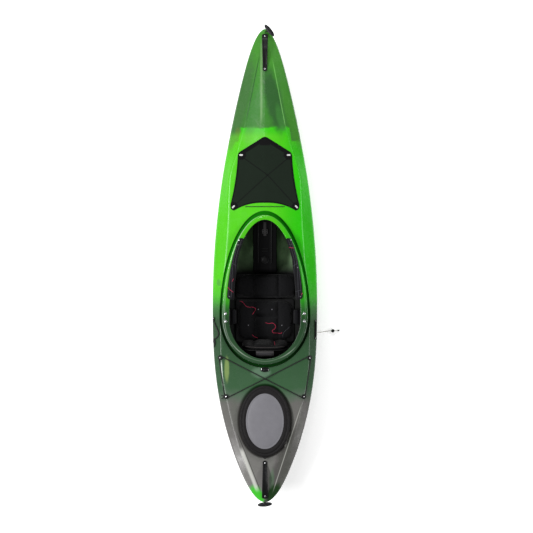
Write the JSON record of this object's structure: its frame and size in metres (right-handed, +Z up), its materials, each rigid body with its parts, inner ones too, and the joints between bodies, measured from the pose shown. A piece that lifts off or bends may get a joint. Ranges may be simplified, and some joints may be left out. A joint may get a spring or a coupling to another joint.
{
  "type": "crossover kayak",
  "caption": "Sit-inside crossover kayak in green and grey moulded plastic, with padded seat, thigh braces, rear hatch and drop-down skeg",
  "frame": {"origin": "at the bottom centre of the bounding box, on the flat of the keel amidships", "axes": "+Y runs to the bow, +Z up out of the deck, +X to the paddler's right (starboard)"},
  "size_m": [0.9878, 3.6789, 0.3944],
  "materials": {
    "moulded_green": "rotomoulded plastic, satin, lime green blended with dark green and grey",
    "black_plastic": "black moulded plastic, fine grain",
    "grey_panel": "grey moulded plastic, satin",
    "hatch_rubber": "dark grey moulded rubber, matt",
    "seat_fabric": "black padded fabric with piping",
    "cover_cloth": "dark stretch cloth with a bound edge",
    "black_cord": "black braided cord",
    "pale_cord": "pale grey braided cord",
    "stainless": "stainless steel",
    "grey_foam": "grey closed-cell foam",
    "grey_webbing": "grey woven webbing",
    "white_plastic": "white moulded plastic"
  },
  "bodies": {
    "kayak": {"bow_grip_cord": "black_cord", "bow_handle": "black_plastic", "bow_handle_screw_inner": "stainless", "bow_handle_screw_tip": "stainless", "bungee_button_front_left": "black_plastic", "bungee_button_front_right": "black_plastic", "bungee_button_rear_left": "black_plastic", "bungee_button_rear_right": "black_plastic", "coaming": "moulded_green", "cover_anchor_front_left": "white_plastic", "cover_anchor_front_right": "white_plastic", "cover_anchor_rear_left": "white_plastic", "cover_anchor_rear_right": "white_plastic", "cover_cord": "black_cord", "deck_bungee": "black_cord", "deck_cover": "cover_cloth", "foot_rail_left": "stainless", "foot_rail_right": "stainless", "hatch_neck": "moulded_green", "hip_pad_left": "seat_fabric", "hip_pad_right": "seat_fabric", "hull_shell": "moulded_green", "paddle_keeper_cord": "black_cord", "paddle_keeper_eye": "black_plastic", "paddle_keeper_hook": "black_plastic", "rear_bulkhead": "grey_foam", "rim_bolt_front_left": "stainless", "rim_bolt_front_right": "stainless", "rim_bolt_rear_left": "stainless", "rim_bolt_rear_right": "stainless", "seat_pad": "seat_fabric", "seat_pan": "black_plastic", "security_loop": "black_plastic", "skeg_bead": "black_plastic", "skeg_box": "black_plastic", "skeg_cord": "pale_cord", "skeg_fairlead": "black_plastic", "skeg_pin": "stainless", "skeg_tube": "black_plastic", "step_out_pillar": "black_plastic", "stern_grip_cord": "black_cord", "stern_handle": "black_plastic", "stern_handle_screw_inner": "stainless", "stern_handle_screw_tip": "stainless"},
    "backrest": {"backrest_frame": "black_plastic", "backrest_pad": "seat_fabric", "back_strap": "grey_webbing"},
    "leg_lift": {"leg_lifter": "black_plastic", "lifter_pad": "seat_fabric"},
    "brace_left": {"thigh_brace_left": "black_plastic", "thigh_pad_left": "seat_fabric"},
    "brace_right": {"thigh_brace_right": "black_plastic", "thigh_pad_right": "seat_fabric"},
    "pedal_left": {"foot_pedal_left": "black_plastic"},
    "pedal_right": {"foot_pedal_right": "black_plastic"},
    "hatch": {"hatch_cover": "hatch_rubber", "hatch_panel": "grey_panel"},
    "skeg": {"skeg_blade": "black_plastic"},
    "grip_bow": {"bow_grip": "black_plastic"},
    "grip_stern": {"stern_grip": "black_plastic"}
  },
  "joints": [
    {"name": "backrest_tilt", "type": "hinge", "parent": "kayak", "child": "backrest", "pos_m": [0, -0.592, 0.078], "axis": [1, 0, 0], "range_deg": [-22, 5]},
    {"name": "leg_lift_tilt", "type": "hinge", "parent": "kayak", "child": "leg_lift", "pos_m": [0, -0.247, 0.048], "axis": [1, 0, 0], "range_deg": [0, 14]},
    {"name": "brace_left_slide", "type": "slide", "parent": "kayak", "child": "brace_left", "axis": [0.2057, 0.9776, 0.0439], "range_m": [-0.03, 0.03]},
    {"name": "brace_right_slide", "type": "slide", "parent": "kayak", "child": "brace_right", "axis": [-0.2057, 0.9776, 0.0439], "range_m": [-0.03, 0.03]},
    {"name": "pedal_left_slide", "type": "slide", "parent": "kayak", "child": "pedal_left", "axis": [0.1662, 0.9861, 0], "range_m": [-0.15, 0.2]},
    {"name": "pedal_right_slide", "type": "slide", "parent": "kayak", "child": "pedal_right", "axis": [-0.1662, 0.9861, 0], "range_m": [-0.15, 0.2]},
    {"name": "hatch_lift", "type": "slide", "parent": "kayak", "child": "hatch", "axis": [0, 0, 1], "range_m": [0, 0.25]},
    {"name": "skeg_swing", "type": "hinge", "parent": "kayak", "child": "skeg", "pos_m": [0, -1.425, 0.03778], "axis": [1, 0, 0], "range_deg": [0, 50]},
    {"name": "bow_grip_swivel", "type": "hinge", "parent": "kayak", "child": "grip_bow", "pos_m": [0.034, 1.795, 0.3569], "axis": [0, 0, 1], "range_deg": [-60, 60]},
    {"name": "stern_grip_swivel", "type": "hinge", "parent": "kayak", "child": "grip_stern", "pos_m": [0, -1.8225, 0.31134], "axis": [0, 0, 1], "range_deg": [-60, 60]}
  ]
}
